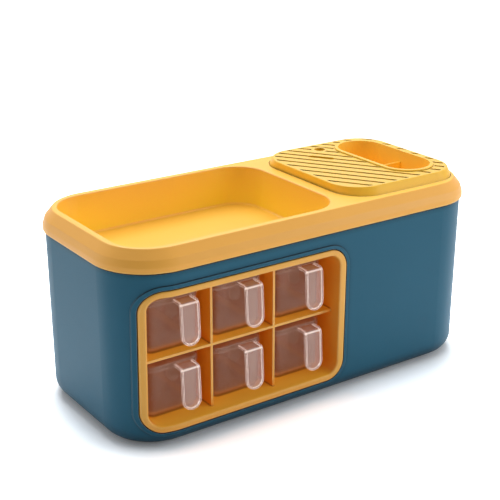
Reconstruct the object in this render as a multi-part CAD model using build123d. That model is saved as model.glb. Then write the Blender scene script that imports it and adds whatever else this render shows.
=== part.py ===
from build123d import *
import math
import os

# A kitchen spice rack: a tapered outer box with a lift-off cover, a drawer of six clear
# spice boxes and a knife and cutlery holder.  All sizes in mm, +Z up, front towards -Y.
# The origin is under the middle of the box, on the table.

# Outline of the cover at its lower edge, and the levels that stack up from the table
LENGTH = 380.0
DEPTH = 180.0
CORNER = 50.0
FOOT_RISE = 1.5
SEAM = 155.0
COVER_RISE = 18.3
COVER_TOP = SEAM + COVER_RISE
INSERT_RISE = 7.3
INSERT_TOP = COVER_TOP + INSERT_RISE
GAP = 0.3

# Outer box
BODY_INSET = 2.2
BODY_DRAFT = 0.76
BODY_WALL = 3.0
BODY_FLOOR = 3.0
BODY_EDGE = 16.0
SHOULDER = SEAM - 1.2
REBATE = 1.5
SPIGOT_TOP = SEAM + 3.0
SPIGOT_GAP = 0.35

# Drawer front (the frame around the six cells) and the raised lip it sits in.  Their outlines start
# AHEAD of the box; their front edges lie within EDGE_SPAN of the back and bow by at most EDGE_BOW.
FRONT_LENGTH = 199.2
FRONT_HEIGHT = 123.4
FRONT_X0 = -LENGTH / 2 + 18.4
FRONT_X1 = FRONT_X0 + FRONT_LENGTH
FRONT_Z1 = SEAM - 15.6
FRONT_Z0 = FRONT_Z1 - FRONT_HEIGHT
FRONT_R = 18.0
FRAME_PROUD = 1.9
RING_BACK = -DEPTH / 2 + 22.0
LIP_GAP = 0.8
LIP_WIDTH = 3.3
LIP_PROUD = 1.0
LIP_EDGE = 0.7
FRAME_EDGE = 1.6
MOUTH_BACK = -DEPTH / 2 + 24.0
COLLAR_BACK = -DEPTH / 2 + 30.0
AHEAD = 12.0
EDGE_SPAN = 3.5
EDGE_BOW = 14.0
EDGE_NEAR = 0.02

# Cells of the drawer
CELL_X0 = FRONT_X0 + 6.0
CELL_X1 = FRONT_X1 - 7.0
CELL_Z0 = FRONT_Z0 + 5.6
CELL_Z1 = FRONT_Z1 - 5.4
CELL_R = 11.0
TUBE_R = 6.0
DRAWER_WALL = 2.0
DRAWER_BACK = DEPTH / 2 - 46.0
DRAWER_TOP = CELL_Z1 - 1.0
GRID_FRONT = -DEPTH / 2 + 13.0
COLUMNS = 3
ROWS = 2

# Spice boxes, their lids and their spoons
BOX_WIDTH = 50.0
BOX_FRONT = RING_BACK - 2.0
BOX_BACK = DRAWER_BACK - 4.0
BOX_WALL = 1.5
BOX_R = 7.5
BOX_EDGE = 7.0
LID_TOP = 47.0
LID_PLATE = 1.6
LID_SKIRT = 5.5
LID_WALL = 1.2
LID_GAP = 0.15
LID_EDGE = 1.2
LID_SLOT_GAP = 0.4
NOTCH_GAP = 0.3
NOTCH_DROP = 0.5
STRAP_SHIFT = 8.6
STRAP_WIDTH = 17.4
STRAP_FRONT = BOX_FRONT - 11.0
STRAP_BACK = BOX_FRONT + 9.0
STRAP_THICK = 2.0
STRAP_TOP = LID_TOP - 3.4
STRAP_LOW = 6.2
STRAP_LEAN = 2.4
STRAP_BEND = 4.6
RIM = 1.5
RIM_RISE = 1.0
STEM_Y = BOX_FRONT + 20.0
STEM_WIDTH = 10.4
STEM_LOW = 20.0
STEM_BEND = 3.4
STEM_SPARE = 0.2
BOWL_TOP = 34.0
BOWL_DEEP = 3.2
SCOOP_R = 11.0
SCOOP_WALL = 1.2
OVER = 80.0

# Tray in the cover
SKIN = 2.0
TRAY_FLOOR = DRAWER_TOP + SKIN + 2.0
TRAY_R = 31.0
TRAY_DRAFT = 5.5
TRAY_BEND = 2.2
TRAY_EDGE = 1.4
PLATE_INSET = 20.0
RIM_INSET = 9.0
RIM_WIDTH = 5.5
COVER_PLATE = 2.5
PLATE_LAP = 4.0
# Bends of the cover's edge, outside and inside: how far in, and at which share of the cover's rise
OUTER_BENDS = ((0.3, 0.27), (2.2, 0.58))
INNER_BENDS = ((8.8, 0.74), (5.8, 0.52))
COVER_KERB = 0.3
PLATE_START = 12.5
SKIRT_WALL = 5.1

# Knife and cutlery insert
INSERT_X1 = LENGTH / 2 - 12.0
INSERT_X0 = INSERT_X1 - 131.0
INSERT_HALF = DEPTH / 2 - 20.8
INSERT_R = 30.5
INSERT_FLARE_X = 0.5
INSERT_FLARE_Y = 5.2
INSERT_EDGE = 1.2
INSERT_BORDER = 2.4
RECESS = 0.8
RECESS_GAP = 0.4
WELL_X0 = INSERT_X0 + 3.6
WELL_X1 = INSERT_X1 - 2.2
WELL_HALF = INSERT_HALF - 1.6
WELL_R = 28.0
PLUG_GAP = 0.5
PLUG_LOW = COVER_TOP - 7.8
SLAT_PITCH = 11.5
SLOT_WIDTH = 3.3
SLAT_ANGLE = -55.5
INSERT_PLATE = 3.0
HOLE_X = INSERT_X0 + 59.6
HOLE_Y = INSERT_HALF - 16.7
HOLE_R = 5.4
HOLE_PAD = 8.0
SLIT_X = INSERT_X0 + 43.4
SLIT_Y = INSERT_HALF - 40.4
SLIT_LENGTH = 26.0
SLIT_WIDTH = 6.4
TRAY_X1 = INSERT_X0 - 13.0

# Cutlery cup
CUP_X = INSERT_X1 - 35.6
CUP_WIDTH = 45.8
CUP_LENGTH = 2 * INSERT_HALF - 28.6
CUP_WALL = 1.4
CUP_FLOOR = 64.0
CUP_DRAFT = 1.6
CUP_RIM = 3.1
CUP_RIM_RISE = 1.5
CUP_GAP = 0.3
CUP_DIVIDER = 1.8
CUP_DIVIDER_TOP = INSERT_TOP - 9.3
CUP_SPACE = 1.2
CUP_BEND = 4.5
CUP_RIM_EDGE = 0.7
CUP_RIM_LAP = 0.5

# Inside of the outer box: the wall between drawer and knife well, and the drawer's runners and stops
PARTITION_X = FRONT_X1 + 2.4
PARTITION_WALL = 2.5
PARTITION_GAP = 5.0
ROOT = 0.5
RUNNER_WIDTH = 8.0
RUNNER_OUT = 3.0
SIDE_GAP = 0.7
SIDE_RISE = 9.0
STOP_DEPTH = 3.0
STOP_RISE = 10.0

# Rubber feet
FOOT_R = 8.0
FOOT_SUNK = 0.6
FOOT_EDGE = 0.6
FOOT_GAP = 0.15
FOOT_X = LENGTH / 2 - 50.0
FOOT_Y = DEPTH / 2 - 42.0


def level(x0, x1, y0, y1, radius, z):
    """A rounded rectangle lying flat at height z."""
    place = Plane.XY.offset(z) * Pos((x0 + x1) / 2, (y0 + y1) / 2)
    return place * RectangleRounded(x1 - x0, y1 - y0, radius)


def upright(x0, x1, z0, z1, radius, y_front, y_back):
    """A rounded rectangle seen from the front, pushed back from y_front to y_back."""
    plane = Plane(origin=(0, y_front, 0), x_dir=(1, 0, 0), z_dir=(0, -1, 0))
    face = plane * Pos((x0 + x1) / 2, (z0 + z1) / 2) * RectangleRounded(x1 - x0, z1 - z0, radius)
    return extrude(face, amount=-(y_back - y_front))


def block(x0, x1, y0, y1, z0, z1):
    """A plain box between two corners."""
    return Pos((x0 + x1) / 2, (y0 + y1) / 2, (z0 + z1) / 2) * Box(x1 - x0, y1 - y0, z1 - z0)


def tapered(inset, z0, z1, edge):
    """The outer box's form, moved in by inset, with rounded lower edges."""
    lean = math.tan(math.radians(BODY_DRAFT)) * (SHOULDER - z0)
    moved = BODY_INSET + inset + lean
    base = level(-LENGTH / 2 + moved, LENGTH / 2 - moved, -DEPTH / 2 + moved, DEPTH / 2 - moved,
                 CORNER - moved, z0)
    solid = extrude(base, amount=z1 - z0, taper=-BODY_DRAFT)
    low = solid.edges().group_by(Axis.Z)[0]
    return fillet(low, edge)


def outer_form(grow):
    """Outside of the box up to its shoulder, grown outwards by grow."""
    return tapered(-grow, FOOT_RISE - grow, SHOULDER, BODY_EDGE + grow)


def cavity():
    """Inside of the box, open at the top."""
    return tapered(BODY_WALL, FOOT_RISE + BODY_FLOOR, SPIGOT_TOP + 1, BODY_EDGE - BODY_WALL)


def runners():
    """Three runners and their stops inside the box, which carry the drawer, and its two side guides."""
    low = FOOT_RISE + BODY_FLOOR - 1
    top = CELL_Z0 - DRAWER_WALL - GAP
    left = CELL_X0 - DRAWER_WALL
    right = CELL_X1 + DRAWER_WALL
    middle = (left + right) / 2
    half = RUNNER_WIDTH / 2
    stop = DRAWER_BACK + GAP
    back = stop + STOP_DEPTH
    parts = []
    for x0, x1 in ((left - RUNNER_OUT, left + RUNNER_WIDTH), (middle - half, middle + half),
                   (right - RUNNER_WIDTH, right + RUNNER_OUT)):
        parts.append(block(x0, x1, MOUTH_BACK, back, low, top))
        parts.append(block(x0, x1, stop, back, top - 1, top + STOP_RISE))
    parts.append(block(left - RUNNER_OUT, left - SIDE_GAP, MOUTH_BACK, back, top - 1, top + SIDE_RISE))
    parts.append(block(right + SIDE_GAP, right + RUNNER_OUT, MOUTH_BACK, back, top - 1, top + SIDE_RISE))
    return parts


def raised_lip():
    """Band around the front opening that stands a little proud of the box, with softened edges."""
    lip = LIP_GAP + LIP_WIDTH
    x0, x1, z0, z1, radius = FRONT_X0 - lip, FRONT_X1 + lip, FRONT_Z0 - lip, FRONT_Z1 + lip, FRONT_R + lip
    collar = upright(x0, x1, z0, z1, radius, -DEPTH / 2 - AHEAD, COLLAR_BACK) & outer_form(LIP_PROUD)
    return fillet(front_edges(collar, x0, x1, z0, z1, radius, MOUTH_BACK - EDGE_SPAN), LIP_EDGE)


def outer_body():
    """Shell with the front opening, its raised lip, the runners and the well's partition."""
    step = BODY_INSET + REBATE
    spigot = level(-LENGTH / 2 + step, LENGTH / 2 - step, -DEPTH / 2 + step, DEPTH / 2 - step,
                   CORNER - step, SHOULDER - 1)
    shell = outer_form(0) + raised_lip()
    shell = shell + extrude(spigot, amount=SPIGOT_TOP - SHOULDER + 1)
    shell = shell - cavity()
    low = FOOT_RISE + BODY_FLOOR - ROOT
    within = tapered(BODY_WALL - ROOT, low, SPIGOT_TOP, BODY_EDGE - BODY_WALL + ROOT)
    partition = block(PARTITION_X, PARTITION_X + PARTITION_WALL, -DEPTH / 2, DEPTH / 2, low,
                      TRAY_FLOOR - SKIN - PARTITION_GAP)
    shell = shell + (partition & within)
    for piece in runners():
        shell = shell + (piece & within)
    g = LIP_GAP
    shell = shell - upright(FRONT_X0 - g, FRONT_X1 + g, FRONT_Z0 - g, FRONT_Z1 + g, FRONT_R + g,
                            -DEPTH / 2 - AHEAD, MOUTH_BACK)
    for x in (-FOOT_X, FOOT_X):
        for y in (-FOOT_Y, FOOT_Y):
            shell = shell - Pos(x, y, FOOT_RISE) * Cylinder(FOOT_R + FOOT_GAP, 2 * FOOT_SUNK)
    return shell


def front_edges(solid, x0, x1, z0, z1, radius, behind):
    """Edges of the solid that follow a rounded rectangle seen from the front, before y = behind."""
    found = []
    for edge in solid.edges():
        if edge.center().Y > behind:
            continue
        if abs(edge.position_at(0.02).Y - edge.position_at(0.98).Y) > EDGE_BOW:
            continue
        on_line = True
        for t in (0.1, 0.5, 0.9):
            p = edge.position_at(t)
            cx = min(max(p.X, x0 + radius), x1 - radius)
            cz = min(max(p.Z, z0 + radius), z1 - radius)
            away = math.hypot(p.X - cx, p.Z - cz)
            on_line = on_line and abs(away - radius) < EDGE_NEAR
        if on_line:
            found.append(edge)
    return ShapeList(found)


def rubber_feet():
    """Four round pads under the box."""
    feet = []
    for x in (-FOOT_X, FOOT_X):
        for y in (-FOOT_Y, FOOT_Y):
            height = FOOT_RISE + FOOT_SUNK
            pad = Pos(x, y, height / 2) * Cylinder(FOOT_R, height)
            feet.append(fillet(pad.edges().group_by(Axis.Z)[0], FOOT_EDGE))
    return Compound(children=feet)


def cell_sizes():
    """Width of one column and height of one row."""
    width = (CELL_X1 - CELL_X0 - (COLUMNS - 1) * DRAWER_WALL) / COLUMNS
    height = (CELL_Z1 - CELL_Z0 - (ROWS - 1) * DRAWER_WALL) / ROWS
    return width, height


def drawer_frame():
    """Frame around the six cells, which follows the box's front and stands proud of it."""
    front_y = -DEPTH / 2 - AHEAD
    frame = upright(FRONT_X0, FRONT_X1, FRONT_Z0, FRONT_Z1, FRONT_R, front_y, RING_BACK)
    frame = frame & outer_form(FRAME_PROUD)
    frame = frame - upright(CELL_X0, CELL_X1, CELL_Z0, CELL_Z1, CELL_R, front_y, RING_BACK)
    rows = ((FRONT_X0, FRONT_X1, FRONT_Z0, FRONT_Z1, FRONT_R), (CELL_X0, CELL_X1, CELL_Z0, CELL_Z1, CELL_R))
    for x0, x1, z0, z1, radius in rows:
        frame = fillet(front_edges(frame, x0, x1, z0, z1, radius, RING_BACK - EDGE_SPAN), FRAME_EDGE)
    return frame


def spice_drawer():
    """Drawer front frame with the open-topped tube behind it, split into six cells."""
    wall = DRAWER_WALL
    start = RING_BACK - wall
    tube = upright(CELL_X0 - wall, CELL_X1 + wall, CELL_Z0 - wall, CELL_Z1 + wall, TUBE_R + wall,
                   start, DRAWER_BACK)
    tube = tube - upright(CELL_X0, CELL_X1, CELL_Z0, CELL_Z1, CELL_R, start, RING_BACK)
    tube = tube - upright(CELL_X0, CELL_X1, CELL_Z0, CELL_Z1, TUBE_R, RING_BACK, DRAWER_BACK - wall)
    drawer = drawer_frame() + tube
    width, height = cell_sizes()
    back = DRAWER_BACK - wall / 2
    root = wall / 2
    for i in range(1, COLUMNS):
        x = CELL_X0 + i * (width + wall) - wall
        drawer = drawer + block(x, x + wall, GRID_FRONT, back, CELL_Z0 - root, CELL_Z1 + root)
    for j in range(1, ROWS):
        z = CELL_Z0 + j * (height + wall) - wall
        drawer = drawer + block(CELL_X0 - root, CELL_X1 + root, GRID_FRONT, back, z, z + wall)
    above = block(-LENGTH / 2, LENGTH / 2, GRID_FRONT + 1, DEPTH / 2, DRAWER_TOP, SEAM)
    return drawer - above


def cell_origin(column, row):
    """Middle of a cell's floor, from the left and from the top."""
    width, height = cell_sizes()
    x = CELL_X0 + width / 2 + column * (width + DRAWER_WALL)
    z = CELL_Z0 + (ROWS - 1 - row) * (height + DRAWER_WALL)
    return x, z + GAP


def spice_box(x, z):
    """Clear box with rounded corners and a notch for the spoon handle in its front edge."""
    inset = LID_WALL + LID_GAP
    half = BOX_WIDTH / 2 - inset
    top = z + LID_TOP - LID_PLATE - LID_GAP
    y0 = BOX_FRONT + inset
    y1 = BOX_BACK - inset
    outside = extrude(level(x - half, x + half, y0, y1, BOX_R - inset, z), amount=top - z)
    outside = fillet(outside.edges().group_by(Axis.Z)[0], BOX_EDGE)
    w = BOX_WALL
    inside = extrude(level(x - half + w, x + half - w, y0 + w, y1 - w, BOX_R - inset - w, z + w),
                     amount=top - z)
    inside = fillet(inside.edges().group_by(Axis.Z)[0], BOX_EDGE - w)
    notch = STRAP_WIDTH / 2 + NOTCH_GAP
    cut = block(x + STRAP_SHIFT - notch, x + STRAP_SHIFT + notch, y0 - 1, y0 + w + 1,
                z + STRAP_TOP - STRAP_THICK - NOTCH_DROP, top + 1)
    return outside - inside - cut


def spice_lid(x, z):
    """Lid that caps the box, with a slot in its front skirt for the spoon handle."""
    half = BOX_WIDTH / 2
    top = z + LID_TOP
    low = top - LID_SKIRT
    cap = extrude(level(x - half, x + half, BOX_FRONT, BOX_BACK, BOX_R, low), amount=LID_SKIRT)
    cap = fillet(cap.edges().group_by(Axis.Z)[-1], LID_EDGE)
    w = LID_WALL
    hollow = extrude(level(x - half + w, x + half - w, BOX_FRONT + w, BOX_BACK - w, BOX_R - w, low),
                     amount=LID_SKIRT - LID_PLATE)
    slot = STRAP_WIDTH / 2 + LID_SLOT_GAP
    cut = block(x + STRAP_SHIFT - slot, x + STRAP_SHIFT + slot, BOX_FRONT - 1, BOX_FRONT + w + 1,
                low - 1, z + STRAP_TOP + LID_SLOT_GAP)
    return cap - hollow - cut


def hook_block(x0, x1, y_out, z_out, low, back, radius):
    """Outline of a hook over an edge: flat above, leaning slightly outwards below, rounded between."""
    lean = STRAP_LEAN * (z_out - low) / (STRAP_TOP - STRAP_LOW)
    side = Plane(origin=(x0, 0, 0), x_dir=(0, 1, 0), z_dir=(1, 0, 0))
    face = make_face(Polyline((back, z_out), (y_out, z_out), (y_out - lean, low), (back, low), close=True))
    bend = face.vertices().sort_by(lambda v: math.hypot(v.X - y_out, v.Y - z_out))[0]
    return extrude(side * fillet(bend, radius), amount=x1 - x0)


def upper_back_edge(solid):
    """The edge along X that lies highest and furthest back."""
    return solid.edges().filter_by(Axis.X).sort_by(lambda e: e.center().Z + e.center().Y)[-1]


def spice_spoon(x, z):
    """Spoon whose broad rimmed handle hooks over the box's front edge and hangs outside."""
    cx = x + STRAP_SHIFT
    half = STRAP_WIDTH / 2
    thick = STRAP_THICK
    top = z + STRAP_TOP
    low = z + STRAP_LOW
    front = STRAP_FRONT
    back = STRAP_BACK
    under = low - 2
    outer = hook_block(cx - half, cx + half, front, top, under, back, STRAP_BEND)
    inner = hook_block(cx - half - 1, cx + half + 1, front + thick, top - thick, under, back + 1,
                       STRAP_BEND - thick)
    outline = upright(cx - half, cx + half, low, low + OVER, half - 0.05, front - 9, back + 1)
    strap = (outer - inner) & outline
    face = half - RIM
    skin = hook_block(cx - face - 1, cx + face + 1, front + RIM_RISE, top - RIM_RISE, under, back + 1,
                      STRAP_BEND - RIM_RISE)
    shallow = hook_block(cx - face, cx + face, front - 1, top + 1, under, back - RIM, STRAP_BEND + 1)
    window = upright(cx - face, cx + face, low + RIM, low + OVER, face - 0.05, front - 9, back + 1)
    strap = strap - ((shallow - skin) & window)
    stem = STEM_WIDTH / 2
    foot = z + STEM_LOW
    stem_out = block(cx - stem, cx + stem, back - 3, STEM_Y, foot, top)
    stem_out = fillet(upper_back_edge(stem_out), STEM_BEND)
    stem_in = block(cx - stem - 1, cx + stem + 1, back - 4, STEM_Y - thick + STEM_SPARE, foot - 1, top - thick)
    stem_in = fillet(upper_back_edge(stem_in), STEM_BEND - thick + STEM_SPARE)
    tongue = upright(cx - stem, cx + stem, foot, foot + OVER, stem - 0.05, back - 5, STEM_Y + 1)
    bowl = upright(cx - stem, cx + stem, foot, z + BOWL_TOP, stem - 0.05, STEM_Y - BOWL_DEEP, STEM_Y)
    middle = (foot + z + BOWL_TOP) / 2 + 1
    scoop = Pos(cx, STEM_Y - SCOOP_WALL - SCOOP_R, middle) * Sphere(SCOOP_R)
    return strap + (((stem_out - stem_in) & tongue) + bowl - scoop)


def cover_path():
    """Outline of the cover's lower edge, from the middle of the front, one way round."""
    a = LENGTH / 2
    b = DEPTH / 2
    r = CORNER
    z = SEAM
    lines = [
        Line((0, -b, z), (a - r, -b, z)),
        Line((a, r - b, z), (a, b - r, z)),
        Line((a - r, b, z), (r - a, b, z)),
        Line((-a, b - r, z), (-a, r - b, z)),
        Line((r - a, -b, z), (0, -b, z)),
    ]
    middles = [(a - r, r - b), (a - r, b - r), (r - a, b - r), (r - a, r - b)]
    ends = [(0, 1), (1, 2), (2, 3), (3, 4)]
    edges = [lines[0]]
    for (cx, cy), (i, j) in zip(middles, ends):
        s = math.sqrt(0.5) * r
        mid = (cx + math.copysign(s, cx), cy + math.copysign(s, cy), z)
        edges.append(ThreePointArc(lines[i] @ 1, mid, lines[j] @ 0))
        edges.append(lines[j])
    return Wire(edges)


def cover_section():
    """Cross-section of the cover's edge: inset across, height up."""
    rise = COVER_RISE
    inner = BODY_INSET + REBATE - SPIGOT_GAP
    ledge = SPIGOT_TOP - SEAM + GAP
    under = rise - COVER_PLATE
    root = PLATE_INSET + PLATE_LAP
    outside = [(across, share * rise) for across, share in OUTER_BENDS]
    inside = [(across, share * rise) for across, share in INNER_BENDS]
    points = [(inner, 0), (0, 0), *outside, (RIM_INSET - COVER_KERB, rise), (root, rise),
              (root, under), (PLATE_START, under), *inside, (SKIRT_WALL, ledge), (inner, ledge)]
    face = make_face(Polyline(*points, close=True))
    rounded_at = {1: 0.9, 2: 6.0, 3: 2.6, 4: 1.8}
    for number, radius in rounded_at.items():
        px, py = points[number]
        vertex = face.vertices().sort_by(lambda v: math.hypot(v.X - px, v.Y - py))[0]
        face = fillet(vertex, radius)
    return face


def tray_outline():
    """Corners of the tray's mouth: left, right and half its depth."""
    side = RIM_INSET + RIM_WIDTH
    return side - LENGTH / 2, TRAY_X1, DEPTH / 2 - side


def top_cover():
    """Lift-off cover: rounded edge, deep tray on the left and the opening over the well."""
    section = Plane(origin=(0, -DEPTH / 2, SEAM), x_dir=(0, 1, 0), z_dir=(1, 0, 0)) * cover_section()
    i = PLATE_INSET
    plate = extrude(level(-LENGTH / 2 + i, LENGTH / 2 - i, -DEPTH / 2 + i, DEPTH / 2 - i, CORNER - i,
                          COVER_TOP - COVER_PLATE), amount=COVER_PLATE)
    cover = sweep(section, path=cover_path()) + plate
    x0, x1, half = tray_outline()
    s = SKIN
    outside = extrude(level(x0 - s, x1 + s, -half - s, half + s, TRAY_R + s, COVER_TOP - 1),
                      amount=-(COVER_TOP - 1 - TRAY_FLOOR + s), taper=TRAY_DRAFT)
    outside = fillet(outside.edges().group_by(Axis.Z)[0], TRAY_BEND + s)
    inside = extrude(level(x0, x1, -half, half, TRAY_R, COVER_TOP), amount=-(COVER_TOP - TRAY_FLOOR),
                     taper=TRAY_DRAFT)
    inside = fillet(inside.edges().group_by(Axis.Z)[0], TRAY_BEND)
    cover = cover + outside - inside
    mouth = cover.edges().filter_by_position(Axis.Z, COVER_TOP - 0.01, COVER_TOP + 0.01)
    mouth = mouth.filter_by(lambda e: abs(e.center().Y) < half + 0.1 and x0 - 0.1 < e.center().X < x1 + 0.1)
    cover = fillet(mouth, TRAY_EDGE)
    fx = INSERT_FLARE_X + RECESS_GAP
    fy = INSERT_FLARE_Y + RECESS_GAP
    recess = extrude(level(INSERT_X0 - fx, INSERT_X1 + fx, -INSERT_HALF - fy, INSERT_HALF + fy,
                           INSERT_R + fx, COVER_TOP - RECESS), amount=5)
    well = extrude(level(WELL_X0, WELL_X1, -WELL_HALF, WELL_HALF, WELL_R, SEAM), amount=30)
    return cover - recess - well


def oval(grow, z):
    """Outline of the cup's mouth at height z, grown outwards by grow, with its long way front to back."""
    return Plane.XY.offset(z) * Pos(CUP_X, 0) * Rot(0, 0, 90) * SlotOverall(CUP_LENGTH + 2 * grow,
                                                                            CUP_WIDTH + 2 * grow)


def slots():
    """Slanting knife slots through the plate, clear of its edge, the cup, the hole and the slit."""
    m = INSERT_BORDER
    field = extrude(level(INSERT_X0 + m, INSERT_X1 - m, -INSERT_HALF + m, INSERT_HALF - m, INSERT_R - m,
                          INSERT_TOP - INSERT_PLATE - 1), amount=8)
    field = field - extrude(oval(CUP_RIM + CUP_SPACE, PLUG_LOW), amount=30)
    hole_at = Pos(HOLE_X, HOLE_Y, INSERT_TOP)
    slit_at = Pos(SLIT_X, SLIT_Y, INSERT_TOP) * Rot(0, 0, SLAT_ANGLE)
    field = field - hole_at * Cylinder(HOLE_PAD, 20)
    across = math.radians(SLAT_ANGLE + 90)
    reach = LENGTH + DEPTH
    count = int(reach / SLAT_PITCH / 2)
    bars = []
    for n in range(-count, count + 1):
        shift = Pos(math.cos(across) * n * SLAT_PITCH, math.sin(across) * n * SLAT_PITCH)
        bar = shift * slit_at * Box(reach, SLOT_WIDTH, 20)
        if (bar & field).volume > 1:
            bars.append(bar & field)
    hole = hole_at * Cylinder(HOLE_R, 20)
    slit = extrude(slit_at * SlotOverall(SLIT_LENGTH, SLIT_WIDTH), amount=20, both=True)
    cut = [piece for bar in bars for piece in bar.solids() if piece.volume > 20]
    return ShapeList([*cut, *hole.solids(), *slit.solids()])


def knife_insert():
    """Raised holder with slanting knife slots, a round hole, a scissor slot and the cup's oval."""
    base_z = COVER_TOP - RECESS + GAP
    fx = INSERT_FLARE_X
    fy = INSERT_FLARE_Y
    base = level(INSERT_X0 - fx, INSERT_X1 + fx, -INSERT_HALF - fy, INSERT_HALF + fy, INSERT_R + fx, base_z)
    top = level(INSERT_X0, INSERT_X1, -INSERT_HALF, INSERT_HALF, INSERT_R, INSERT_TOP)
    solid = loft([base, top], ruled=True)
    solid = fillet(solid.edges().group_by(Axis.Z)[-1], INSERT_EDGE)
    w = SKIN
    under = INSERT_TOP - INSERT_PLATE
    low = level(INSERT_X0 - fx + w, INSERT_X1 + fx - w, -INSERT_HALF - fy + w, INSERT_HALF + fy - w,
                INSERT_R + fx - w, base_z)
    high = level(INSERT_X0 + w, INSERT_X1 - w, -INSERT_HALF + w, INSERT_HALF - w, INSERT_R - w, under)
    solid = solid - loft([low, high], ruled=True)
    g = PLUG_GAP
    plug_out = extrude(level(WELL_X0 + g, WELL_X1 - g, -WELL_HALF + g, WELL_HALF - g, WELL_R - g, PLUG_LOW),
                       amount=under - PLUG_LOW + 0.5)
    g = g + w
    plug_in = extrude(level(WELL_X0 + g, WELL_X1 - g, -WELL_HALF + g, WELL_HALF - g, WELL_R - g, PLUG_LOW),
                      amount=under - PLUG_LOW)
    solid = solid + (plug_out - plug_in)
    for piece in slots():
        solid = solid - piece
    return solid - extrude(oval(CUP_WALL + CUP_GAP, PLUG_LOW), amount=20)


def cutlery_cup():
    """Deep oval cup with a rolled rim and a divider across its middle."""
    top = INSERT_TOP + CUP_RIM_RISE
    under = top - CUP_RIM_LAP
    outside = extrude(oval(CUP_WALL, under), amount=-(under - CUP_FLOOR + CUP_WALL), taper=CUP_DRAFT)
    outside = fillet(outside.edges().group_by(Axis.Z)[0], CUP_BEND + CUP_WALL)
    inside = extrude(oval(0, top), amount=-(top - CUP_FLOOR), taper=CUP_DRAFT)
    inside = fillet(inside.edges().group_by(Axis.Z)[0], CUP_BEND)
    seat = INSERT_TOP + GAP
    rim = extrude(oval(CUP_RIM, seat), amount=top - seat)
    rim = fillet(rim.edges().group_by(Axis.Z)[-1], CUP_RIM_EDGE)
    half = CUP_DIVIDER / 2
    divider = block(CUP_X - CUP_WIDTH, CUP_X + CUP_WIDTH, -half, half, CUP_FLOOR - 1, CUP_DIVIDER_TOP)
    return outside + rim - inside + (divider & outside)


os.makedirs("parts", exist_ok=True)
export_step(outer_body(), "parts/outer_body.step")
export_step(rubber_feet(), "parts/rubber_feet.step")
export_step(spice_drawer(), "parts/spice_drawer.step")
export_step(top_cover(), "parts/top_cover.step")
export_step(knife_insert(), "parts/knife_insert.step")
export_step(cutlery_cup(), "parts/cutlery_cup.step")
number = 0
for row in range(ROWS):
    for column in range(COLUMNS):
        number = number + 1
        x, z = cell_origin(column, row)
        export_step(spice_box(x, z), f"parts/spice_box_{number}.step")
        export_step(spice_lid(x, z), f"parts/spice_lid_{number}.step")
        export_step(spice_spoon(x, z), f"parts/spice_spoon_{number}.step")
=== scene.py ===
"""Spice rack with drawer: finishes, lights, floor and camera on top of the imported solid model."""

import math

import bpy
from mathutils import Matrix, Vector


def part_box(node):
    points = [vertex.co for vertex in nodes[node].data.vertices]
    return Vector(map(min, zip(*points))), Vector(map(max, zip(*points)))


bl_info = {
    "name": "Spice Rack",
    "version": (1, 0, 0),
    "blender": (4, 5, 0),
    "location": "View3D > Sidebar > Rack",
    "description": "Dresses the spice rack and sets its studio",
    "category": "Object",
}

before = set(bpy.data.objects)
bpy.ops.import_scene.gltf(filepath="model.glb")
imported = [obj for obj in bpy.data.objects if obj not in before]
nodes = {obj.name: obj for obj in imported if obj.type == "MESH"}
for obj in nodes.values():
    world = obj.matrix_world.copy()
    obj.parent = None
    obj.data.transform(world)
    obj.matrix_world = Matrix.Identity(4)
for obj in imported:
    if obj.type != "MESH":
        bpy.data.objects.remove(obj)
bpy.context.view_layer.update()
MM = 0.001

# Sizes of the rack that a finish or the camera needs
SEAM_HEIGHT = 155 * MM                   # where the body and the cover meet
FRAME_RADIUS = 18 * MM                   # outer corner of the drawer's front frame
CELLS_FROM, CELLS_FULL = 4 * MM, 5 * MM  # how far inside the frame's outline its cells begin

# Moulded polypropylene
FLOW_MM = 60                    # width of the clouds in which the colour drifts
DRIFT = 0.04                    # how far it drifts each way
BETWEEN_WALLS = (0.25, 0.85)    # open share of the surroundings, from deep between walls to open, over which the painted bounce light and shade come in
TOP_LIGHT_RISE = (0.75, 0.98)        # rise of a face, from leaning to level, over which the painted light from above comes in
HOLLOW_REACH = 12 * MM          # the painted edge highlight is kept off any place this close to another wall
HOLLOW_RANGE = (0.5, 0.92)
EDGE_HIGHLIGHT_SHARE = 0.7                # most that an edge takes of its paler painted highlight tone
EDGE_BEND = (0.004, 0.05)       # bend of the rounded normal, from none to a full edge
GAP_SHADE, CELL_GAP_SHADE = 0.1, 0.45   # painted shade: what a narrow gap leaves of the colour, outside and in a cell
GLOSS_SPREAD = (-0.05, 0.06)    # what the grain takes from the roughness and adds to it
GRAIN_DEPTH = 0.05 * MM
GRAIN_STRENGTH = 0.12

# Clear styrene
RIM_LIGHT = "FFF8F2"            # painted highlight and glow along a clear wall's rim, standing in for the light that leaves it there
CELL_LIGHT = "B06A34"           # painted glow on the undersides, standing in for light off the amber cells
CELL_LIGHT_SHARE = 0.45
RIM_BEND = (0.01, 0.12)
HAZE_MM = 9                     # width of the clouds in the polish
HAZE_SPREAD = (0.7, 1.4)        # what they make of the roughness
DEPTH_GLOW_FACES = (0.5, 6.0)          # clear faces in a row, from none to all of the painted brown glow
DEPTH_GLOW_STRENGTH = 0.7
UNDERSIDE = (-0.1, -0.7)        # rise of a face, from upright to looking down
BEND_IN, BEND_OUT = (0.2, 0.55), (0.7, 0.95)   # rise of a face where a bend's painted highlight comes and goes
BEND_HIGHLIGHT_SHARE = 0.5                # most of that painted highlight
BEHIND_WALL = 0.12              # what is left of a painted bright line behind the box's front
WALL_BLUR = 0.5 * MM            # half the length over which it fades there

# Rubber
DUST_MM = 2
DUSTY_ROUGHNESS = (0.75, 0.95)

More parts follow.
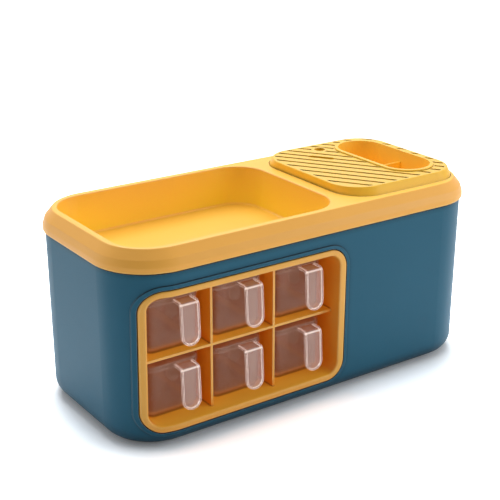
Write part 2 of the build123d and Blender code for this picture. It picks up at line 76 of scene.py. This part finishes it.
# Studio
PICTURE = 500                   # pixels across the picture that the camera's numbers are for
SENSOR_MM = 36.0
FLOOR_REACH = 6.0
FLOOR_PAPER = "F6F8F9"
PAPER_SEEN = [2.5, 2.6, 2.7, 1.0]        # overexposed paper, past white
# Tone of the painted contact shadow: the paper deep in the rack's shade
PAPER_CONTACT_SHADOW = [0.85, 0.9, 0.95, 1.0]
PAPER_GLOW = 1.6
PAPER_LEFT = (0.25, 0.75)       # distance from the middle, from paper to plain white
PLAIN_LEAST = 0.04              # share of plain white in the paper near the middle
CONTACT_REACH = 40 * MM         # width of the painted soft shadow at the rack's foot
CONTACT_RANGE = (0.3, 0.92)
DARK_SIDE = (-0.47, -0.57, -0.67)        # way to the part of the studio without light
DARK_RANGE = (0.12, 0.74)
LAMPS = (                       # name, its strength in the stage's values, size, place, aim
    ("overhead softbox", "key", (1.1, 0.9), (0.22, 0.55, 1.2), (0, 0, 0.1)),
    ("left softbox", "side", (0.8, 0.9), (-1.2, 0.75, 0.55), (-0.15, 0, 0.1)),
    ("right softbox", "front", (0.9, 0.9), (1.15, -1.0, 0.6), (0.05, 0, 0.08)),
)


def linear(colour):
    """Turn an sRGB hex colour such as "F0B050" into linear red, green, blue and alpha 1."""
    parts = [int(colour[i:i + 2], 16) / 255 for i in (0, 2, 4)]
    return [c / 12.92 if c <= 0.04045 else ((c + 0.055) / 1.055) ** 2.4 for c in parts] + [1.0]


def shade(colour, factor):
    """A linear colour made darker or lighter by a factor, up to white."""
    return [min(1.0, c * factor) for c in colour[:3]] + [1.0]


def add(tree, kind, inputs=None, **settings):
    """Add one node to a tree, with its settings and its inputs, each a value or the socket it is from."""
    made = tree.nodes.new(kind)
    for key, value in settings.items():
        setattr(made, key, value)
    for key, value in (inputs or {}).items():
        if isinstance(value, bpy.types.NodeSocket):
            tree.links.new(value, made.inputs[key])
        else:
            made.inputs[key].default_value = value
    return made


def new_material(name):
    """Empty material, its tree, and its output node."""
    material = bpy.data.materials.new(name)
    material.use_nodes = True
    tree = material.node_tree
    tree.nodes.clear()
    return material, tree, add(tree, "ShaderNodeOutputMaterial")


def per_metre(size_mm):
    """Pattern scale for a feature of a given size, because a noise cell is one over the scale."""
    return 1.0 / (size_mm * MM)


# What a user may change

def tint(name, description, default):
    """A colour that a user may change, as sRGB hex."""
    return bpy.props.StringProperty(name=name, description=description, default=default)


def share(name, description, default):
    """A value from zero to one that a user may change."""
    return bpy.props.FloatProperty(name=name, description=description, default=default, min=0, max=1,
                                   subtype="FACTOR")


class RackColours(bpy.types.PropertyGroup):
    # The hidden tones are painted bounce light and shade between walls, the level tones are painted light
    # from above, the edge tones are painted highlights, and the tone behind the walls is a painted glow.
    teal: tint("Body", "Colour of the outer body, as hex", "275F77")
    teal_painted_bounce: tint("Body, hidden", "Its colour between walls", "0B3A4C")
    teal_edge_highlight: tint("Body, edges", "Colour along its edges", "93A4AC")
    cover: tint("Cover", "Colour of the cover with its tray", "FBB54A")
    cover_painted_bounce: tint("Cover, hidden", "Its colour between walls", "FFE43C")
    cover_painted_top_light: tint("Cover, level", "Its colour where it faces up", "FAC448")
    yellow: tint("Holder", "Colour of the knife holder", "FFC326")
    yellow_painted_bounce: tint("Holder and cup, hidden", "Their colour between walls", "FFC42A")
    yellow_painted_top_light: tint("Holder and cup, level", "Their colour facing up", "F2C246")
    edge: tint("Edges", "Colour along the edges of the yellow parts", "FFDF9C")
    cup: tint("Cup", "Colour of the cutlery cup", "FFD252")
    amber: tint("Drawer", "Colour of the drawer", "F2B046")
    amber_painted_bounce: tint("Drawer, hidden", "Its colour deep in the cells", "F58C14")
    amber_painted_top_light: tint("Drawer, level", "Its colour where it faces up", "FFC640")
    wall: tint("Boxes", "Cast of the clear boxes and lids", "C89C88")
    handle: tint("Handles", "Cast of the clear handles", "FAD8CC")
    depth: tint("Behind the walls", "Light left behind many clear walls", "824E34")
    rubber: tint("Feet", "Colour of the feet", "2A2B2C")


class RackFinish(bpy.types.PropertyGroup):
    body_roughness: share("Body roughness", "Sheen of the matte body", 0.48)
    cover_roughness: share("Cover roughness", "Sheen of the yellow parts", 0.42)
    grain: bpy.props.FloatProperty(name="Grain", description="Size of the moulded grain",
                                   default=0.9 * MM, min=0.1 * MM, unit="LENGTH")
    wall_veil: share("Box veil", "How much one wall of a box hides", 0.11)
    handle_veil: share("Handle veil", "How much one face of a handle hides", 0.22)


class RackStage(bpy.types.PropertyGroup):
    azimuth: bpy.props.FloatProperty(
        name="Camera azimuth", description="Turn about the vertical, from the front",
        default=math.radians(-35.31), subtype="ANGLE")
    elevation: bpy.props.FloatProperty(
        name="Camera elevation", description="Height angle of the camera",
        default=math.radians(18.51), subtype="ANGLE")
    roll: bpy.props.FloatProperty(
        name="Camera roll", description="Tilt of the camera about its view",
        default=math.radians(0.24), subtype="ANGLE")
    distance: bpy.props.FloatProperty(
        name="Camera distance", description="From the middle of the seam", default=1.0485, unit="LENGTH")
    focal_pixels: bpy.props.FloatProperty(
        name="Focal length", description="In pixels of a 500 pixel wide picture", default=1166.5,
        subtype="PIXEL")
    centre: bpy.props.FloatVectorProperty(
        name="Aim in the picture", description="Where the middle of the seam lies, in pixels of 500",
        size=2, default=(261.37, 207.88))
    key: bpy.props.FloatProperty(
        name="Top light", description="Strength of the light overhead", default=13.4, unit="POWER")
    side: bpy.props.FloatProperty(
        name="Side light", description="Strength of the light on the left", default=1.7, unit="POWER")
    front: bpy.props.FloatProperty(
        name="Front light", description="Strength of the light on the right", default=7.7, unit="POWER")
    fill: bpy.props.FloatProperty(
        name="Fill", description="Strength of the white surroundings", default=0.44)


# Finishes

def cavity(tree, reach, low, high):
    """One deep between walls and zero on an open surface, from the open share of the surroundings within
    reach: one at the low share and less, zero at the high share and more."""
    around = add(tree, "ShaderNodeAmbientOcclusion", {"Distance": reach}, samples=6)
    return add(tree, "ShaderNodeMapRange", {"Value": around.outputs["AO"], "From Min": high,
                                            "From Max": low},
               interpolation_type="SMOOTHSTEP").outputs["Result"]


def edge_line(tree, width, low, high):
    """One on a sharp edge and zero a little way from it, from how far a rounded normal leaves the real
    one: zero up to the low difference, and one from the high difference on."""
    rounded = add(tree, "ShaderNodeBevel", {"Radius": width}, samples=4)
    real = add(tree, "ShaderNodeNewGeometry")
    match = add(tree, "ShaderNodeVectorMath", {0: rounded.outputs[0], 1: real.outputs["Normal"]},
                operation="DOT_PRODUCT")
    return add(tree, "ShaderNodeMapRange", {"Value": match.outputs["Value"], "From Min": 1.0 - low,
                                            "From Max": 1.0 - high}).outputs["Result"]


def rise(tree):
    """How far a surface looks up: one on a level top, zero on a wall and minus one on an underside."""
    normal = add(tree, "ShaderNodeNewGeometry").outputs["Normal"]
    return add(tree, "ShaderNodeSeparateXYZ", {0: normal}).outputs["Z"]


def past_outline(tree, at, low, high, radius):
    """How far a point lies outside a rounded rectangle that stands across the room, in metres, from its
    two corners and its corner radius: the length of what is left of the two offsets past the corner's
    centre, less the radius."""
    middle = [(a + b) / 2 for a, b in zip(low, high)]
    straight = [(b - a) / 2 - radius for a, b in zip(low, high)]
    across = at
    for other, operation in ((middle, "SUBTRACT"), (None, "ABSOLUTE"), (straight, "SUBTRACT"),
                             ((0, 0, 0), "MAXIMUM"), ((1, 0, 1), "MULTIPLY")):
        across = add(tree, "ShaderNodeVectorMath", {0: across} if other is None else {0: across, 1: other},
                     operation=operation).outputs[0]
    length = add(tree, "ShaderNodeVectorMath", {0: across}, operation="LENGTH").outputs["Value"]
    return add(tree, "ShaderNodeMath", {0: length, 1: radius}, operation="SUBTRACT").outputs[0]


def moulded_polypropylene(name, colour, deep, roughness, grain, top=None, edge=None, reach=45 * MM,
                          gap_reach=6 * MM, gap_range=(0.15, 0.6), edge_width=1.0 * MM, through=0.0,
                          shine=0.5, frame_of=None):
    """Injection-moulded polypropylene with a fine eroded texture.

    The eye sees an even soft colour with a broad, quiet highlight and hardly any mirror image. The
    grain breaks the highlight's edge, and the colour drifts by a few percent where the melt flowed. The
    real grain is about 0.1 mm; it is drawn coarser here so that it shows at all.

    Between walls that are within reach of each other, bounce light is painted in: the colour turns to the
    deep tone, and a share, through, of that tone is added as a painted glow that stands in for light
    coming through thin walls.
    Faces that look up get a painted lit tone, top, for the light from above. Outer edges get a painted
    highlight, a paler line, and inner corners do not. A narrow gap gets painted shade, lighter in the
    cells of the frame that frame_of gives by two corners and a corner radius."""
    material, tree, out = new_material(name)
    at = add(tree, "ShaderNodeTexCoord").outputs["Object"]
    full = linear(colour)
    flow = add(tree, "ShaderNodeTexNoise", {"Vector": at, "Scale": per_metre(FLOW_MM), "Detail": 2.0,
                                            "Roughness": 0.5}).outputs["Fac"]
    tone = add(tree, "ShaderNodeMix", {0: flow, 6: shade(full, 1 - DRIFT), 7: shade(full, 1 + DRIFT)},
               data_type="RGBA").outputs[2]
    # Painted bounce light and shade: deep between walls the tone turns to the deep colour
    hidden = cavity(tree, reach, *BETWEEN_WALLS)
    tone = add(tree, "ShaderNodeMix", {0: hidden, 6: tone, 7: linear(deep)}, data_type="RGBA").outputs[2]
    # Painted light from above: faces that look up take the top tone
    if top:
        level = add(tree, "ShaderNodeMapRange", {"Value": rise(tree), "From Min": TOP_LIGHT_RISE[0],
                                                 "From Max": TOP_LIGHT_RISE[1]}).outputs["Result"]
        tone = add(tree, "ShaderNodeMix", {0: level, 6: tone, 7: linear(top)}, data_type="RGBA").outputs[2]
    # Painted highlight: a paler line along outer edges, kept off inner corners
    if edge:
        outer = add(tree, "ShaderNodeMapRange", {"Value": cavity(tree, HOLLOW_REACH, *HOLLOW_RANGE),
                                                 "To Min": EDGE_HIGHLIGHT_SHARE, "To Max": 0.0}).outputs["Result"]
        line = add(tree, "ShaderNodeMath", {0: edge_line(tree, edge_width, *EDGE_BEND), 1: outer},
                   operation="MULTIPLY").outputs[0]
        tone = add(tree, "ShaderNodeMix", {0: line, 6: tone, 7: linear(edge)}, data_type="RGBA").outputs[2]
    # Painted shade in narrow gaps, lighter in the frame's cells
    gap = cavity(tree, gap_reach, *gap_range)
    shadow = shade(full, GAP_SHADE)
    if frame_of:
        inside = add(tree, "ShaderNodeMapRange", {
            "Value": past_outline(tree, at, *frame_of), "From Min": -CELLS_FULL, "From Max": -CELLS_FROM,
            "To Min": 1.0, "To Max": 0.0}).outputs["Result"]
        shadow = add(tree, "ShaderNodeMix", {0: inside, 6: shadow, 7: shade(full, CELL_GAP_SHADE)},
                     data_type="RGBA").outputs[2]
    tone = add(tree, "ShaderNodeMix", {0: gap, 6: tone, 7: shadow}, data_type="RGBA").outputs[2]
    speck = add(tree, "ShaderNodeTexNoise", {"Vector": at, "Scale": 1.0 / grain, "Detail": 3.0,
                                             "Roughness": 0.6}).outputs["Fac"]
    gloss = add(tree, "ShaderNodeMapRange", {"Value": speck, "To Min": roughness + GLOSS_SPREAD[0],
                                             "To Max": roughness + GLOSS_SPREAD[1]}).outputs["Result"]
    bump = add(tree, "ShaderNodeBump", {"Height": speck, "Strength": GRAIN_STRENGTH,
                                        "Distance": GRAIN_DEPTH})
    lit = {}
    # Painted glow of the deep colour between walls, for light through thin walls
    if through:
        wide = add(tree, "ShaderNodeMath", {0: hidden, 1: gap}, operation="SUBTRACT", use_clamp=True)
        glow = add(tree, "ShaderNodeMath", {0: wide.outputs[0], 1: through}, operation="MULTIPLY")
        lit = {"Emission Color": linear(deep), "Emission Strength": glow.outputs[0]}
    skin = add(tree, "ShaderNodeBsdfPrincipled", {
        "Base Color": tone, "Roughness": gloss, "Normal": bump.outputs["Normal"], "IOR": 1.49,
        "Specular IOR Level": shine, **lit})
    tree.links.new(skin.outputs["BSDF"], out.inputs["Surface"])
    return material


def behind_walls(tree, first, last):
    """Rises from zero to one with the clear faces a ray has come through, unless it looks for a lamp."""
    path = add(tree, "ShaderNodeLightPath")
    many = add(tree, "ShaderNodeMapRange", {"Value": path.outputs["Transparent Depth"], "From Min": first,
                                            "From Max": last}).outputs["Result"]
    return add(tree, "ShaderNodeMath", {0: many, 1: path.outputs["Is Shadow Ray"]}, operation="SUBTRACT",
               use_clamp=True).outputs[0]


def on_bend(tree):
    """Mask for a painted highlight on bends: half where a surface leans between upright and level, as on a
    bend that the top light meets, and falling to zero on level and upright faces."""
    height = rise(tree)
    rising = add(tree, "ShaderNodeMapRange", {"Value": height, "From Min": BEND_IN[0],
                                              "From Max": BEND_IN[1], "To Max": BEND_HIGHLIGHT_SHARE})
    falling = add(tree, "ShaderNodeMapRange", {"Value": height, "From Min": BEND_OUT[0],
                                               "From Max": BEND_OUT[1], "To Min": 1.0, "To Max": 0.0})
    return add(tree, "ShaderNodeMath", {0: rising.outputs["Result"], 1: falling.outputs["Result"]},
               operation="MULTIPLY").outputs[0]


def before_wall(tree, at, front, value):
    """The value in front of an upright wall at a depth along Y, falling to an eighth of it behind."""
    depth = add(tree, "ShaderNodeSeparateXYZ", {0: at}).outputs["Y"]
    outside = add(tree, "ShaderNodeMapRange", {
        "Value": depth, "From Min": front - WALL_BLUR, "From Max": front + WALL_BLUR, "To Min": 1.0,
        "To Max": BEHIND_WALL}).outputs["Result"]
    return add(tree, "ShaderNodeMath", {0: value, 1: outside}, operation="MULTIPLY").outputs[0]


def clear_styrene(name, colour, depth, veil, roughness, line, width=1.0 * MM, slant=4.0, glow_share=0.75,
                  front=None):
    """Clear injection-moulded styrene with a warm cast.

    The eye sees what is behind it through a thin veil that thickens where the wall is seen edge on. Along
    the rims a painted highlight and glow stand in for the light that runs inside the wall and comes out
    there. Wall behind wall is painted as an even warm brown glow, for the light that is left between them,
    and undersides get a painted glow of the light of the cells. A piece that reaches through a front wall
    at a given depth has its painted bright lines and the painted highlight on its bend only before that
    wall, and no painted cell light."""
    material, tree, out = new_material(name)
    facing = add(tree, "ShaderNodeLayerWeight", {"Blend": 0.45}).outputs["Facing"]
    cover = add(tree, "ShaderNodeMapRange", {"Value": facing, "To Min": veil,
                                             "To Max": min(1.0, veil * slant)}).outputs["Result"]
    # Painted highlight and glow along the rims
    rim = edge_line(tree, width, *RIM_BEND)
    at = add(tree, "ShaderNodeTexCoord").outputs["Object"]
    # Painted highlight on a handle's bend; both it and the rims are kept mostly in front of the box's
    # front wall
    if front is not None:
        shine = add(tree, "ShaderNodeMath", {0: rim, 1: on_bend(tree)}, operation="MAXIMUM").outputs[0]
        rim = before_wall(tree, at, front, shine)
    bright = add(tree, "ShaderNodeMath", {0: rim, 1: line}, operation="MULTIPLY").outputs[0]
    alpha = add(tree, "ShaderNodeMath", {0: cover, 1: bright}, operation="MAXIMUM").outputs[0]
    haze = add(tree, "ShaderNodeTexNoise", {"Vector": at, "Scale": per_metre(HAZE_MM), "Detail": 3.0})
    gloss = add(tree, "ShaderNodeMapRange", {
        "Value": haze.outputs["Fac"], "To Min": roughness * HAZE_SPREAD[0],
        "To Max": roughness * HAZE_SPREAD[1]}).outputs["Result"]
    # The rims are painted in the rim light's tone and glow with it
    tone = add(tree, "ShaderNodeMix", {0: rim, 6: linear(colour), 7: linear(RIM_LIGHT)},
               data_type="RGBA").outputs[2]
    glow = add(tree, "ShaderNodeMath", {0: rim, 1: glow_share * line}, operation="MULTIPLY").outputs[0]
    skin = add(tree, "ShaderNodeBsdfPrincipled", {
        "Base Color": tone, "Roughness": gloss, "Alpha": alpha, "IOR": 1.5,
        "Emission Color": linear(RIM_LIGHT), "Emission Strength": glow})
    # Painted brown glow where a ray has come through many clear faces
    brown = add(tree, "ShaderNodeEmission", {"Color": linear(depth), "Strength": DEPTH_GLOW_STRENGTH})
    seen = add(tree, "ShaderNodeMixShader", {0: behind_walls(tree, *DEPTH_GLOW_FACES), 1: skin.outputs[0],
                                             2: brown.outputs[0]})
    if front is None:
        # Painted glow of the cells' light on undersides
        under = add(tree, "ShaderNodeMapRange", {
            "Value": rise(tree), "From Min": UNDERSIDE[0], "From Max": UNDERSIDE[1],
            "To Max": CELL_LIGHT_SHARE}).outputs["Result"]
        warm = add(tree, "ShaderNodeEmission", {"Color": linear(CELL_LIGHT), "Strength": 1.0})
        seen = add(tree, "ShaderNodeMixShader", {0: under, 1: seen.outputs[0], 2: warm.outputs[0]})
    tree.links.new(seen.outputs[0], out.inputs["Surface"])
    return material


def soft_rubber(name, colour):
    """Moulded thermoplastic rubber: dark, dry and without a clear highlight."""
    material, tree, out = new_material(name)
    at = add(tree, "ShaderNodeTexCoord").outputs["Object"]
    dust = add(tree, "ShaderNodeTexNoise", {"Vector": at, "Scale": per_metre(DUST_MM), "Detail": 4.0})
    dry = add(tree, "ShaderNodeMapRange", {"Value": dust.outputs["Fac"], "To Min": DUSTY_ROUGHNESS[0],
                                           "To Max": DUSTY_ROUGHNESS[1]})
    skin = add(tree, "ShaderNodeBsdfPrincipled", {"Base Color": linear(colour), "IOR": 1.52,
                                                  "Roughness": dry.outputs["Result"]})
    tree.links.new(skin.outputs["BSDF"], out.inputs["Surface"])
    return material


def finish_nodes(names, material):
    """Give each named solid one finish."""
    for name in names:
        mesh = nodes[name].data
        mesh.materials.clear()
        mesh.materials.append(material)


# Pieces

class RACK_OT_body(bpy.types.Operator):
    """Finish the teal outer body"""
    bl_idname = "rack.body"
    bl_label = "Outer body"

    def execute(self, context):
        colours, finish = context.scene.rack_colours, context.scene.rack_finish
        # Matte: it mirrors almost nothing. Painted shade lies deep between walls and in narrow gaps, and
        # only the edges of its fine lip get a painted highlight, a paler line
        finish_nodes(["outer_body"], moulded_polypropylene(
            "matte teal polypropylene", colours.teal, colours.teal_painted_bounce, finish.body_roughness,
            finish.grain, edge=colours.teal_edge_highlight, gap_range=(0.7, 0.99), edge_width=0.6 * MM, shine=0.16))
        return {"FINISHED"}


class RACK_OT_top(bpy.types.Operator):
    """Finish the cover, the knife holder and the cutlery cup"""
    bl_idname = "rack.top"
    bl_label = "Cover, holder and cup"

    def execute(self, context):
        colours, finish = context.scene.rack_colours, context.scene.rack_finish
        # The tray is wide, so its painted bounce light reaches between walls that are far apart, with a
        # faint painted glow
        finish_nodes(["top_cover"], moulded_polypropylene(
            "satin orange yellow polypropylene", colours.cover, colours.cover_painted_bounce, finish.cover_roughness,
            finish.grain, colours.cover_painted_top_light, colours.edge, reach=120 * MM, gap_range=(0.15, 0.66),
            through=0.065))
        # Painted shade in its slots, and a painted glow for the light that the thin walls between them let
        # through
        finish_nodes(["knife_insert"], moulded_polypropylene(
            "satin yellow polypropylene", colours.yellow, colours.yellow_painted_bounce, finish.cover_roughness,
            finish.grain, colours.yellow_painted_top_light, colours.edge, gap_range=(0.3, 0.88), edge_width=0.6 * MM,
            through=0.18))
        # The thinnest wall of all, with the strongest painted glow inside
        finish_nodes(["cutlery_cup"], moulded_polypropylene(
            "thin satin yellow polypropylene", colours.cup, colours.yellow_painted_bounce, finish.cover_roughness,
            finish.grain, colours.yellow_painted_top_light, through=0.26))
        return {"FINISHED"}


class RACK_OT_drawer(bpy.types.Operator):
    """Finish the drawer"""
    bl_idname = "rack.drawer"
    bl_label = "Drawer"

    def execute(self, context):
        colours, finish = context.scene.rack_colours, context.scene.rack_finish
        outline = (*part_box("spice_drawer"), FRAME_RADIUS)
        # Painted bounce light turns it orange deep in the cells, painted shade makes the gap around the
        # frame nearly black, and a faint painted glow is added
        finish_nodes(["spice_drawer"], moulded_polypropylene(
            "drawer amber polypropylene", colours.amber, colours.amber_painted_bounce, finish.cover_roughness,
            finish.grain, colours.amber_painted_top_light, colours.edge, gap_reach=2.5 * MM, gap_range=(0.3, 0.92),
            through=0.05, frame_of=outline))
        return {"FINISHED"}


class RACK_OT_boxes(bpy.types.Operator):
    """Finish the six clear boxes with their lids and spoons"""
    bl_idname = "rack.boxes"
    bl_label = "Spice boxes"

    def execute(self, context):
        colours, finish = context.scene.rack_colours, context.scene.rack_finish
        # Frosted walls with quiet painted rim lines and a painted glow of the cells on their undersides
        wall = clear_styrene("warm clear styrene", colours.wall, colours.depth, finish.wall_veil,
                             roughness=0.25, line=0.25)
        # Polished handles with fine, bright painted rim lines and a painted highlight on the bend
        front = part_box("spice_box_1")[0][1]
        handle = clear_styrene("polished clear styrene", colours.handle, colours.depth, finish.handle_veil,
                               roughness=0.12, line=1.0, width=0.45 * MM, slant=1.8, glow_share=1.05,
                               front=front)
        for kind, finished in (("box", wall), ("lid", wall), ("spoon", handle)):
            finish_nodes([f"spice_{kind}_{n}" for n in range(1, 7)], finished)
        return {"FINISHED"}


class RACK_OT_feet(bpy.types.Operator):
    """Finish the rubber feet"""
    bl_idname = "rack.feet"
    bl_label = "Feet"

    def execute(self, context):
        finish_nodes(["rubber_feet"], soft_rubber("black thermoplastic rubber",
                                                  context.scene.rack_colours.rubber))
        return {"FINISHED"}


# Studio

def white_where_seen(tree):
    """One for a ray from the camera, off a glossy surface or through a clear wall, else zero."""
    path = add(tree, "ShaderNodeLightPath").outputs
    seen = path["Is Camera Ray"]
    for other in ("Is Glossy Ray", "Is Transmission Ray"):
        seen = add(tree, "ShaderNodeMath", {0: seen, 1: path[other]}, operation="MAXIMUM").outputs[0]
    return seen


def soft_box(name, power, size, place, aim):
    """Large rectangular lamp at a place, facing a point."""
    lamp = bpy.data.lights.new(name, "AREA")
    lamp.energy = power
    lamp.shape = "RECTANGLE"
    lamp.size, lamp.size_y = size
    holder = bpy.data.objects.new(name, lamp)
    bpy.context.scene.collection.objects.link(holder)
    holder.location = place
    holder.rotation_euler = (Vector(aim) - Vector(place)).to_track_quat("-Z", "Y").to_euler()


class RACK_OT_stage(bpy.types.Operator):
    """Set the floor, the surroundings, the lamps and the camera"""
    bl_idname = "rack.stage"
    bl_label = "Studio"

    def execute(self, context):
        scene = context.scene
        values = scene.rack_stage
        self.floor()
        self.surroundings(scene, values.fill)
        for name, strength, size, place, aim in LAMPS:
            soft_box(name, getattr(values, strength), size, place, aim)
        self.camera(scene, values)
        scene.view_settings.view_transform = "Standard"
        return {"FINISHED"}

    def floor(self):
        """Wide flat sheet at the level of the feet: paper near the rack, where the shadow falls, which the
        camera sees overexposed and darkened by a painted soft shadow at the rack's foot, and plain white
        further out. From below it can be looked through."""
        mesh = bpy.data.meshes.new("studio floor")
        corners = [(x * FLOOR_REACH, y * FLOOR_REACH, 0) for x, y in ((-1, -1), (1, -1), (1, 1), (-1, 1))]
        mesh.from_pydata(corners, [], [(0, 1, 2, 3)])
        sheet = bpy.data.objects.new("studio_floor", mesh)
        bpy.context.scene.collection.objects.link(sheet)
        material, tree, out = new_material("white studio paper")
        seen = white_where_seen(tree)
        # Painted contact shadow: the paper seen near the rack darkens to its shadow tone
        near = cavity(tree, CONTACT_REACH, *CONTACT_RANGE)
        over = add(tree, "ShaderNodeMix", {0: near, 6: PAPER_SEEN, 7: PAPER_CONTACT_SHADOW},
                   data_type="RGBA").outputs[2]
        tone = add(tree, "ShaderNodeMix", {0: seen, 6: linear(FLOOR_PAPER), 7: over},
                   data_type="RGBA").outputs[2]
        paper = add(tree, "ShaderNodeBsdfDiffuse", {"Color": tone})
        glow = add(tree, "ShaderNodeEmission", {"Color": (1, 1, 1, 1), "Strength": PAPER_GLOW})
        at = add(tree, "ShaderNodeTexCoord").outputs["Object"]
        away = add(tree, "ShaderNodeVectorMath", {0: at}, operation="LENGTH").outputs["Value"]
        outward = add(tree, "ShaderNodeMapRange", {
            "Value": away, "From Min": PAPER_LEFT[0], "From Max": PAPER_LEFT[1], "To Min": PLAIN_LEAST,
            "To Max": 1.0})
        plain = add(tree, "ShaderNodeMath", {0: seen, 1: outward.outputs["Result"]}, operation="MULTIPLY")
        top = add(tree, "ShaderNodeMixShader", {0: plain.outputs[0], 1: paper.outputs[0],
                                                2: glow.outputs[0]})
        below = add(tree, "ShaderNodeNewGeometry").outputs["Backfacing"]
        clear = add(tree, "ShaderNodeBsdfTransparent")
        both = add(tree, "ShaderNodeMixShader", {0: below, 1: top.outputs[0], 2: clear.outputs[0]})
        tree.links.new(both.outputs[0], out.inputs["Surface"])
        mesh.materials.append(material)

    def surroundings(self, scene, fill):
        """White all round where the camera sees it, and a soft light that falls off towards the dark side
        of the studio, which is where the camera stands."""
        world = bpy.data.worlds.new("white surroundings")
        scene.world = world
        world.use_nodes = True
        tree = world.node_tree
        tree.nodes.clear()
        out = add(tree, "ShaderNodeOutputWorld")
        way = add(tree, "ShaderNodeTexCoord").outputs["Generated"]
        towards = add(tree, "ShaderNodeVectorMath", {0: way, 1: DARK_SIDE}, operation="DOT_PRODUCT")
        dim = add(tree, "ShaderNodeMapRange", {
            "Value": towards.outputs["Value"], "From Min": DARK_RANGE[0], "From Max": DARK_RANGE[1],
            "To Min": 1.0, "To Max": 0.0}, interpolation_type="SMOOTHSTEP").outputs["Result"]
        level = add(tree, "ShaderNodeMapRange", {"Value": white_where_seen(tree), "To Min": fill,
                                                 "To Max": 1.0}).outputs["Result"]
        lit = add(tree, "ShaderNodeMath", {0: level, 1: dim}, operation="MULTIPLY").outputs[0]
        camera = add(tree, "ShaderNodeLightPath").outputs["Is Camera Ray"]
        strength = add(tree, "ShaderNodeMath", {0: lit, 1: camera}, operation="MAXIMUM").outputs[0]
        sky = add(tree, "ShaderNodeBackground", {"Color": (1, 1, 1, 1), "Strength": strength})
        tree.links.new(sky.outputs[0], out.inputs["Surface"])

    def camera(self, scene, values):
        """Camera on a sphere about the middle of the seam, its picture shifted to the photo's framing."""
        az, el, roll = values.azimuth, values.elevation, values.roll
        back = Vector((math.sin(az) * math.cos(el), -math.cos(az) * math.cos(el), math.sin(el)))
        right = Vector((math.cos(az), math.sin(az), 0))
        up = back.cross(right)
        turned_right = right * math.cos(roll) + up * math.sin(roll)
        turned_up = up * math.cos(roll) - right * math.sin(roll)
        data = bpy.data.cameras.new("camera")
        data.sensor_width = SENSOR_MM
        data.lens = values.focal_pixels / PICTURE * SENSOR_MM
        data.shift_x = (PICTURE / 2 - values.centre[0]) / PICTURE
        data.shift_y = (values.centre[1] - PICTURE / 2) / PICTURE
        data.clip_end = 50
        holder = bpy.data.objects.new("camera", data)
        scene.collection.objects.link(holder)
        turn = Matrix((turned_right, turned_up, back)).transposed().to_4x4()
        seat = Vector((0, 0, SEAM_HEIGHT)) + back * values.distance
        holder.matrix_world = Matrix.Translation(seat) @ turn
        scene.camera = holder


class RACK_PT_panel(bpy.types.Panel):
    """Lists the rack's pieces and its studio"""
    bl_label = "Spice rack"
    bl_idname = "RACK_PT_panel"
    bl_space_type = "VIEW_3D"
    bl_region_type = "UI"
    bl_category = "Rack"

    def draw(self, context):
        scene = context.scene
        for group in (scene.rack_colours, scene.rack_finish, scene.rack_stage):
            column = self.layout.column(align=True)
            for key in group.__annotations__:
                column.prop(group, key)
        for step in STEPS:
            self.layout.operator(step.bl_idname)


STEPS = (RACK_OT_body, RACK_OT_top, RACK_OT_drawer, RACK_OT_boxes, RACK_OT_feet, RACK_OT_stage)
GROUPS = {"rack_colours": RackColours, "rack_finish": RackFinish, "rack_stage": RackStage}


def register():
    """Register the classes and hang their values on the scene."""
    for cls in (*GROUPS.values(), *STEPS, RACK_PT_panel):
        bpy.utils.register_class(cls)
    for name, group in GROUPS.items():
        setattr(bpy.types.Scene, name, bpy.props.PointerProperty(type=group))


def unregister():
    """Take the values off the scene again and unregister the classes."""
    for name in reversed(GROUPS):
        delattr(bpy.types.Scene, name)
    for cls in reversed((*GROUPS.values(), *STEPS, RACK_PT_panel)):
        bpy.utils.unregister_class(cls)


def main():
    """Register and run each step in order."""
    register()
    for step in STEPS:
        group, name = step.bl_idname.split(".")
        getattr(getattr(bpy.ops, group), name)()


if __name__ == "__main__":
    main()
